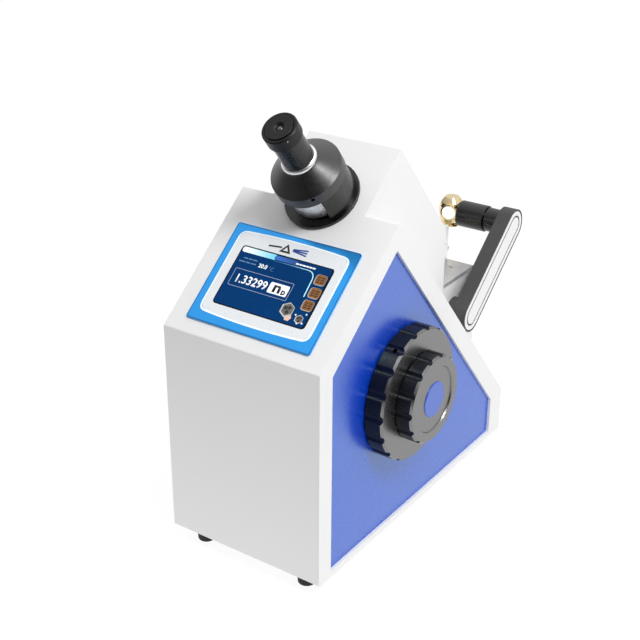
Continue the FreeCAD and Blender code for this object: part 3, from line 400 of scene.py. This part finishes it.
MIRROR = surface("silvered", (0.9, 0.9, 0.9), 0.04, metallic=1.0, vary=0.01)

SCREEN_BLACK = surface("screen_border", (0.003, 0.004, 0.012), 0.3, vary=0.1, cloud=40, specular=0.1)
# Painted shade: a dark blue line laid along the bezel's outer edge.
BEZEL_EDGE_SHADE_PAINT = surface("painted_bezel_edge_shade", (0.006, 0.04, 0.12), 0.3, vary=0.05, cloud=40)
TAB_LIGHT = glow_across("screen_pale_tab", (0.85, 0.93, 0.93), (0.20, 0.68, 0.85), -44, -16, 0.2)
TAB_BLUE = glow_across("screen_blue_tab", (0.02, 0.13, 0.52), (0.002, 0.055, 0.22), -8, 14, 0.15)
TAB_CYAN = glow_across("screen_cyan", (0.03, 0.22, 0.42), (0.50, 0.92, 0.98), -5, 32, 0.2)
PRINT_WHITE = glowing("screen_white", (0.9, 0.93, 0.95), 0.25)
# Painted highlight: a pale glowing line along the white panel's edge, which is no lamp.
PANEL_EDGE_HIGHLIGHT_PAINT = glowing("painted_panel_edge_highlight", (0.86, 0.94, 0.97), 0.15)
PRINT_DIM = glowing("screen_dim_print", (0.10, 0.23, 0.42), 0.1)
PRINT_FRAME = glowing("screen_frame_line", (0.36, 0.40, 0.58), 0.1)
PRINT_BLACK = surface("print_black", (0.008, 0.009, 0.014), 0.3, vary=0.05)
PRINT_NAVY = surface("print_navy", (0.012, 0.05, 0.3), 0.3, vary=0.05)
KEY_RIM = glowing("key_rim", (0.46, 0.42, 0.36), 0.1)
KEY_BROWN = glowing("key_face", (0.26, 0.10, 0.012), 0.1)
KEY_PRINT = surface("key_print", (0.055, 0.022, 0.008), 0.3, vary=0.1)
HEXAGON_RIM = glowing("hexagon_rim", (0.55, 0.55, 0.52), 0.1)
HEXAGON_DARK = surface("hexagon_dark", (0.14, 0.14, 0.13), 0.3, vary=0.3, cloud=400)
HEXAGON_CELL = surface("hexagon_cell", (0.02, 0.022, 0.02), 0.3, vary=0.1)
TILE_PINK = glowing("tile_pink", (0.80, 0.55, 0.44), 0.1)
# The seat under the arm's white strip: its rim is the arm's dark edge, and its floor in the groove is painted
# shade.
SEAT_DARK_AND_GROOVE_SHADE = surface("seat_dark_and_painted_groove_shade", (0.03, 0.03, 0.032), 0.5, vary=0.1)
DARK_GLASS = surface("eye_lens_glass", (0.02, 0.02, 0.025), 0.05, vary=0.2, coat=1.0, specular=0.8)

BY_SLOT = {
    "white_paint": WHITE, "blue_panel": BLUE, "zinc_steel": ZINC, "black_anodised": BLACK_METAL,
    "knob_black": KNOB_SIDE, "cap_blue": CAP_BLUE, "bezel_blue": BEZEL_BLUE, "bezel_white": BEZEL_WHITE,
    "screen": SCREEN, "rubber": RUBBER, "silver": SILVER, "cast_grey": CAST_GREY, "brass": BRASS,
    "glass": GLASS, "mirror": MIRROR, "black_plastic": BLACK_PLASTIC, "board": BOARD, "chrome": CHROME,
}
OWN_FINISH = {"lamp_arm": ARM_BLACK, "lamp_lens": LAMP_WHITE, "touch_screen": BEZEL_WHITE,
              "eyepiece_hood": HOOD_METAL, "diopter_cap": CAP_BLACK}

# ------------------------------------------------------------------ the CAD nodes

# Radii of the edges, in millimetres. The nodes kept sharp keep the edges that the CAD gave them.
EDGE_RADIUS = {"casing": 1.5, "coarse_knob": 0.5, "fine_knob": 0.5, "lamp_arm": 0.5, "eyepiece_flange": 0.4,
               "side_panel_right": 0.3, "side_panel_left": 0.3, "prism_stage": 0.3, "feet": 0.4}
SMALL_EDGE = 0.15
KEPT_SHARP = {"touch_screen", "display_bezel", "mirror", "eye_lens", "objective_lens", "m3_screws",
              "ring_gear", "sector_gear", "planet_gear_1", "planet_gear_2", "planet_gear_3", "output_shaft",
              "fine_shaft", "dispersion_wheel"}
WELD_DISTANCE = 1e-6
KNOB_FACE_DEPTH = 3 * MM
FACING_OUT = 0.5  # the least part of a face's normal that points right


def join_facets(node):
    """Drops the stored normals and merges the split corners, so that edges can be rounded."""
    mesh = node.data
    mesh.attributes.remove(mesh.attributes["custom_normal"])
    mesh.shade_smooth()
    weld = node.modifiers.new("joined", "WELD")
    weld.merge_threshold = WELD_DISTANCE


def dress_cad_nodes():
    """Every CAD node takes the finish of its slot, or one of its own, and keeps its shape."""
    slots = {row["node"]: row["material_slot"] for row in frame["record"]["subparts"]}
    for name, node in NODES.items():
        node.data.materials.clear()
        node.data.materials.append(OWN_FINISH.get(name, BY_SLOT[slots[name]]))
        if name not in KEPT_SHARP:
            join_facets(node)
            round_edges(node, EDGE_RADIUS.get(name, SMALL_EDGE))
            weighted = node.modifiers.new("flat_faces", "WEIGHTED_NORMAL")
            weighted.keep_sharp = False


def grey_faces(node, lowest_x):
    """The outer face of a knob, and the slopes of its lobes, are grey."""
    mesh = node.data
    mesh.materials.append(KNOB_FACE)
    for face in mesh.polygons:
        if face.normal.x > FACING_OUT and face.center.x > lowest_x:
            face.material_index = 1


def dress_knobs():
    grey_faces(NODES["coarse_knob"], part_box("coarse_knob")[1].x - KNOB_FACE_DEPTH)
    grey_faces(NODES["fine_knob"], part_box("fine_knob")[1].x - KNOB_FACE_DEPTH)


# ------------------------------------------------------------------ display

# Heights over the slope and thicknesses, in millimetres. The prints on the screen lie in layers.
BEZEL_TOP = 1.5
BEZEL_LINE_THICK = 0.16
SCREEN_TOP = 1.6
BORDER_BOTTOM = SCREEN_TOP - 0.45
PANEL_LINE_LOW, PANEL_LINE_HIGH = SCREEN_TOP - 0.02, SCREEN_TOP + 0.05
EMBLEM_TOP = 1.7
EMBLEM_THICK = 0.12
LAYER_PITCH = 0.04
PRINT_THICK = 0.03

LETTER_LAYER = 5
LETTER_STEPS = 4
BAR_CORNER = 0.3  # of a bar's height
POINT_UP = math.pi / 6  # turns a hexagon so that a corner is on top
HEXAGON_FACE, HEXAGON_HOLE = 0.84, 0.27  # of the radius of the rim


def layer_top(layer):
    return SCREEN_TOP + LAYER_PITCH * layer


def on_slope(name, build, material):
    """A piece on the sloped front. Local X runs right and local Y up the slope."""
    return piece(name, build, SLOPE, "chassis", material)


def screen_print(name, outline, layer, material, hole=None):
    top = layer_top(layer)
    on_slope(name, lambda bm: plate(bm, outline, top - PRINT_THICK, top, hole), material)


def strokes(bm, x, y, lengths, gap, height, layer):
    """A row of short bars that stands for a caption."""
    top = layer_top(layer)
    for length in lengths:
        plate(bm, rectangle(x, x + length, y, y + height, height * BAR_CORNER), top - PRINT_THICK, top)
        x += length + gap


def letters(name, text, box, material, weight=0.0):
    """Raised characters that fill a box (x0, x1, y0, y1) on the screen."""
    curve = bpy.data.curves.new(name, "FONT")
    curve.body = text
    curve.offset = weight
    curve.resolution_u = LETTER_STEPS
    source = bpy.data.objects.new(name, curve)
    mesh = bpy.data.meshes.new_from_object(source)
    bpy.data.objects.remove(source)
    xs = [v.co.x for v in mesh.vertices]
    ys = [v.co.y for v in mesh.vertices]
    x0, x1, y0, y1 = box
    across = (x1 - x0) / (max(xs) - min(xs))
    along = (y1 - y0) / (max(ys) - min(ys))
    fit = Matrix.Diagonal((across, along, 1, 1)) @ Matrix.Translation((-min(xs), -min(ys), 0))
    mesh.transform(SLOPE @ Matrix.Translation((x0, y0, layer_top(LETTER_LAYER))) @ fit)
    obj = finished(name, mesh, "chassis", material)
    depth = obj.modifiers.new("print_depth", "SOLIDIFY")
    depth.thickness = PRINT_THICK * MM


def build_panel():
    """The painted shade round the bezel's edge, the screen's black border and a glowing line round the panel,
    which is a painted edge highlight.
    """
    # Painted shade: a dark band along the bezel's outer edge.
    outer = rectangle(-70.6, 70.6, 15.1, 122.5, 2.4)
    inner = rectangle(-70.0, 70.0, 15.7, 121.9, 2.0)
    on_slope("bezel_edge_shade_band",
             lambda bm: plate(bm, outer, BEZEL_TOP, BEZEL_TOP + BEZEL_LINE_THICK, inner),
             BEZEL_EDGE_SHADE_PAINT)
    border = rectangle(-52.4, 53.4, 35.8, 101.0, 4.4)
    on_slope("screen_edge", lambda bm: plate(bm, border, BORDER_BOTTOM, layer_top(1)),
             SCREEN_BLACK)
    # Painted highlight: a glowing line along the white panel's edge.
    outer = bowed_rectangle(-63.0, 63.6, 24.9, 116.0, 1.8, 9.6)
    inner = bowed_rectangle(-61.8, 61.8, 26.7, 114.8, 1.8, 8.8)
    on_slope("panel_edge_highlight_band", lambda bm: plate(bm, outer, PANEL_LINE_LOW, PANEL_LINE_HIGH, inner),
             PANEL_EDGE_HIGHLIGHT_PAINT)


def build_readings():
    """The picture on the screen, without its keys and icons."""
    screen_print("screen_field", rectangle(-51.2, 51.3, 37.2, 99.9, 3.4), 2, SCREEN)
    screen_print("tab_light", rectangle(-50.6, -11.0, 94.0, 99.7, 2.7), 3, TAB_LIGHT)
    screen_print("tab_blue", rectangle(-13.0, 14.0, 94.6, 99.2, 2.2), 4, TAB_BLUE)
    title = (3.4, 2.6, 4.2, 3.2, 2.8, 3.4)
    on_slope("title_strokes", lambda bm: strokes(bm, 11.6, 95.6, title, 0.5, 1.5, 5), PRINT_WHITE)
    bend = softened([(-12, 93.2), (12, 93.2), (35.6, 93.2), (36.6, 66.8)], 9.0, 10, closed=False)
    screen_print("cyan_line", ribbon(bend, 1.1, 0.35), 6, TAB_CYAN)
    captions = ((-44.5, 87.6, (5, 4, 5)), (-48.0, 83.6, (7, 5, 6)))
    on_slope("caption_strokes",
             lambda bm: [strokes(bm, x, y, lengths, 0.9, 1.2, 3) for x, y, lengths in captions],
             PRINT_DIM)
    letters("temperature_digits", "20.0", (-25.0, -15.2, 82.4, 86.8), PRINT_WHITE, 0.035)
    letters("degree_mark", "°C", (-12.8, -7.6, 82.0, 86.2), PRINT_DIM)
    screen_print("value_frame", rectangle(-46.8, 21.2, 57.6, 76.4, 1.6), 3, PRINT_FRAME,
                 rectangle(-46.3, 20.7, 58.1, 75.9, 1.2))
    letters("value_digits", "1.33299", (-40.4, -5.2, 61.9, 71.1), PRINT_WHITE, 0.02)
    screen_print("value_tile", rectangle(-2.8, 18.8, 61.0, 72.4, 1.8), 3, PRINT_WHITE)
    letters("value_symbol", "n", (2.2, 10.6, 62.6, 70.4), PRINT_BLACK, 0.03)
    letters("value_index", "D", (12.2, 16.8, 62.2, 66.9), PRINT_BLACK, 0.075)


def build_keys():
    """Three brown keys with captions, two hexagons, a pink tile and four dots."""
    for number, (x, s) in enumerate(((44.6, 86.9), (45.6, 73.0), (45.2, 59.6))):
        screen_print("menu_rim_%d" % number, rectangle(x - 6.3, x + 5.7, s - 5.7, s + 5.5, 3.2), 3, KEY_RIM)
        screen_print("menu_key_%d" % number, rectangle(x - 5.5, x + 5.5, s - 4.9, s + 5.3, 2.8), 4, KEY_BROWN)
        rows = (1.6, -0.8, -3.2)
        on_slope("menu_strokes_%d" % number,
                 lambda bm: [strokes(bm, x - 4.0, s + row, (3.2, 3.8), 0.9, 1.4, 5) for row in rows],
                 KEY_PRINT)

    for name, x, s, radius in (("hexagon_big", 27.2, 50.2, 7.8), ("hexagon_small", 43.4, 44.4, 4.8)):
        screen_print(name + "_rim", polygon(x, s, radius, 6, POINT_UP), 4, HEXAGON_RIM)
        face = polygon(x + radius * 0.05, s + radius * 0.04, radius * HEXAGON_FACE, 6, POINT_UP)
        screen_print(name, face, 5, HEXAGON_DARK)
        for k, (dx, ds) in enumerate(((-0.28, 0.18), (0.22, 0.3), (0.1, -0.3))):
            cell = polygon(x + dx * radius, s + ds * radius, radius * HEXAGON_HOLE, 6)
            screen_print("%s_cell_%d" % (name, k), cell, 6, HEXAGON_CELL)
    screen_print("pink_tile", polygon(31.4, 43.4, 4.0, 6), 3, TILE_PINK)
    for number, (x, s) in enumerate(((38.2, 47.9), (48.5, 50.9), (48.4, 41.4), (43.4, 40.2))):
        screen_print("status_dot_%d" % number, polygon(x, s, 0.85, 12), 5, PRINT_WHITE)


def build_emblem():
    """A generic prism that splits a ray into a fan, above the screen."""
    low = EMBLEM_TOP - EMBLEM_THICK
    prism = [Vector((-12.6, 103.8)), Vector((0.4, 103.8)), Vector((-6.1, 113.4))]
    hole = [Vector((-9.0, 105.8)), Vector((-3.2, 105.8)), Vector((-6.1, 110.1))]
    on_slope("emblem_prism", lambda bm: plate(bm, prism, low, EMBLEM_TOP, hole), PRINT_BLACK)
    ray = ribbon([Vector((-26.0, 107.0)), Vector((-11.6, 108.6))], 1.7)
    on_slope("emblem_ray", lambda bm: plate(bm, ray, low, EMBLEM_TOP), PRINT_BLACK)
    middle = 108.6
    fan = []
    for end in (111.4, middle, 105.8):
        start = middle + (end - middle) * 0.25
        fan.append(ribbon([Vector((1.4, start)), Vector((17.5, end))], 1.5))
    on_slope("emblem_fan", lambda bm: [plate(bm, ray, low, EMBLEM_TOP) for ray in fan],
             PRINT_NAVY)


# ------------------------------------------------------------------ eyepiece

# Heights along the eyepiece's axis, in millimetres.
CAP_TOP = 108.6
SCREW_BELOW_TOP = 4.8
SCREW_DIRECTION = Vector((0.8, -0.6, 0.0))


def build_eyepiece():
    """The silver ring round the tube, the eye lens and the small screw in the cap."""
    ring = [(14.3, 57.65), (17.5, 57.65), (17.5, 61.0), (17.1, 61.7), (15.7, 62.9), (15.25, 62.9),
            (14.3, 61.9)]
    band = piece("ring_band", lambda bm: lathe(bm, ring), EYEPIECE, "chassis", SILVER)
    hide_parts("focus_ring")
    dome = [(0, -2.5), (3.15, -2.5), (3.1, -2.3), (2.3, -1.8), (1.2, -1.55), (0, -1.45)]
    eye_place = EYEPIECE @ Matrix.Translation((0, 0, CAP_TOP))
    piece("eye_glass", lambda bm: lathe(bm, dome, 48), eye_place, "diopter_unit", DARK_GLASS,
          smooth=60)
    radial = SCREW_DIRECTION.to_track_quat("Z", "Y").to_matrix().to_4x4()
    screw_place = EYEPIECE @ Matrix.Translation((0, 0, CAP_TOP - SCREW_BELOW_TOP)) @ radial
    screw = [(0, 15.65), (0.85, 15.65), (0.85, 16.7), (0.6, 16.95), (0.35, 16.95), (0.35, 16.4), (0, 16.4)]
    piece("cap_screw", lambda bm: lathe(bm, screw, 32), screw_place, "diopter_unit", CHROME)


# ------------------------------------------------------------------ lamp arm

# Distances from the casing's middle, in millimetres.
COVER_OUT, COVER_BACK = 78.0, 76.6
GROOVE_FLOOR = COVER_OUT - 0.3
STRIP_BACK = GROOVE_FLOOR - 0.1
STRIP_EDGE = 0.1


def build_arm():
    """A white strip with one groove round it, set in a dark seat. The seat's rim stands for the arm's dark edge,
    and its floor in the groove is painted shade.
    """
    # The part of the seat that shows in the groove is painted shade.
    seat = obround(ARM_LENGTH, 16.8)
    cover = piece("cover_seat", lambda bm: plate(bm, seat, COVER_BACK, GROOVE_FLOOR), ARM, "arm_unit",
                  SEAT_DARK_AND_GROOVE_SHADE)
    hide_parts("arm_cover")
    edge, edge_hole = obround(ARM_LENGTH, 15.7), obround(ARM_LENGTH, 11.0)
    piece("cover_edge", lambda bm: plate(bm, edge, STRIP_BACK, COVER_OUT, edge_hole), ARM, "arm_unit",
          WHITE, bevel=STRIP_EDGE)
    centre = obround(ARM_LENGTH, 9.0)
    piece("cover_centre", lambda bm: plate(bm, centre, STRIP_BACK, COVER_OUT), ARM, "arm_unit",
          WHITE, bevel=STRIP_EDGE)


# ------------------------------------------------------------------ camera, light, floor

CAMERA_PLACE = Vector((0.6084, -0.9792, 0.7431))
CAMERA_YAW, CAMERA_PITCH, CAMERA_ROLL = math.radians(34.77), math.radians(25.39), math.radians(-0.28)
CAMERA_LENS = 68.93
CAMERA_SENSOR = 36

# The tent is dark where the part of a direction along the bright side is under DARK_BELOW.
BRIGHT_SIDE = (0.0, 0.4, 0.92)
BRIGHTEST = 1.22
DARK_BELOW = -0.1

FLOOR_HALF = 12
FLOOR_GLOW_FRONT, FLOOR_GLOW_BACK = 0.15, 0.93
FLOOR_FRONT_Y, FLOOR_BACK_Y = -1.2, -0.45


def make_camera():
    data = bpy.data.cameras.new("camera")
    data.sensor_width = CAMERA_SENSOR
    data.lens = CAMERA_LENS
    camera = bpy.data.objects.new("camera", data)
    bpy.context.scene.collection.objects.link(camera)
    turn = Matrix.Rotation(CAMERA_YAW, 4, "Z") @ Matrix.Rotation(math.pi / 2 - CAMERA_PITCH, 4, "X")
    camera.matrix_world = Matrix.Translation(CAMERA_PLACE) @ turn @ Matrix.Rotation(-CAMERA_ROLL, 4, "Z")
    bpy.context.scene.camera = camera


def area_light(name, place, target, size, power):
    data = bpy.data.lights.new(name, "AREA")
    data.shape = "RECTANGLE"
    data.size, data.size_y = size
    data.energy = power
    light = bpy.data.objects.new(name, data)
    light.location = place
    light.rotation_euler = (Vector(target) - Vector(place)).to_track_quat("-Z", "Y").to_euler()
    bpy.context.scene.collection.objects.link(light)


def make_world():
    """A white tent, brightest overhead and behind."""
    world = bpy.data.worlds.new("studio")
    world.use_nodes = True
    tree = world.node_tree
    background = tree.nodes["Background"]
    background.inputs["Color"].default_value = (1, 1, 1, 1)
    coordinates = tree.nodes.new("ShaderNodeTexCoord")
    towards = tree.nodes.new("ShaderNodeVectorMath")
    towards.operation = "DOT_PRODUCT"
    towards.inputs[1].default_value = BRIGHT_SIDE
    tree.links.new(coordinates.outputs["Generated"], towards.inputs[0])
    strength = spread(tree, towards.outputs["Value"], 0.0, BRIGHTEST, DARK_BELOW, 1.0)
    tree.links.new(strength, background.inputs["Strength"])
    bpy.context.scene.world = world


def make_floor():
    """A pale table that glows softly, as a light table under a product does, and less towards its front."""
    mesh = bpy.data.meshes.new("floor")
    corners = [(-FLOOR_HALF, -FLOOR_HALF, 0), (FLOOR_HALF, -FLOOR_HALF, 0),
               (FLOOR_HALF, FLOOR_HALF, 0), (-FLOOR_HALF, FLOOR_HALF, 0)]
    mesh.from_pydata(corners, [], [(0, 1, 2, 3)])
    floor = bpy.data.objects.new("floor", mesh)
    material = surface("floor_white", (0.1, 0.1, 0.1), 0.7, vary=0.004, cloud=1.0, specular=0.0)
    tree = material.node_tree
    shader = tree.nodes["Principled BSDF"]
    apart = tree.nodes.new("ShaderNodeSeparateXYZ")
    tree.links.new(tree.nodes["Texture Coordinate"].outputs["Object"], apart.inputs["Vector"])
    glow = spread(tree, apart.outputs["Y"], FLOOR_GLOW_FRONT, FLOOR_GLOW_BACK, FLOOR_FRONT_Y, FLOOR_BACK_Y)
    tree.links.new(glow, shader.inputs["Emission Strength"])
    shader.inputs["Emission Color"].default_value = (1, 1, 1, 1)
    mesh.materials.append(material)
    bpy.context.scene.collection.objects.link(floor)


def make_studio():
    make_world()
    make_floor()
    area_light("key", place=(1.3, -0.64, 2.15), target=(0, 0, 0.25), size=(0.65, 0.65), power=34)
    area_light("low_card", place=(-0.1, -0.7, 0.05), target=(-0.05, -0.2, 0.0), size=(0.6, 0.08), power=0.25)
    bpy.context.scene.view_settings.view_transform = "Standard"


make_camera()
dress_cad_nodes()
build_panel()
build_readings()
build_keys()
build_emblem()
build_eyepiece()
build_arm()
dress_knobs()
make_studio()
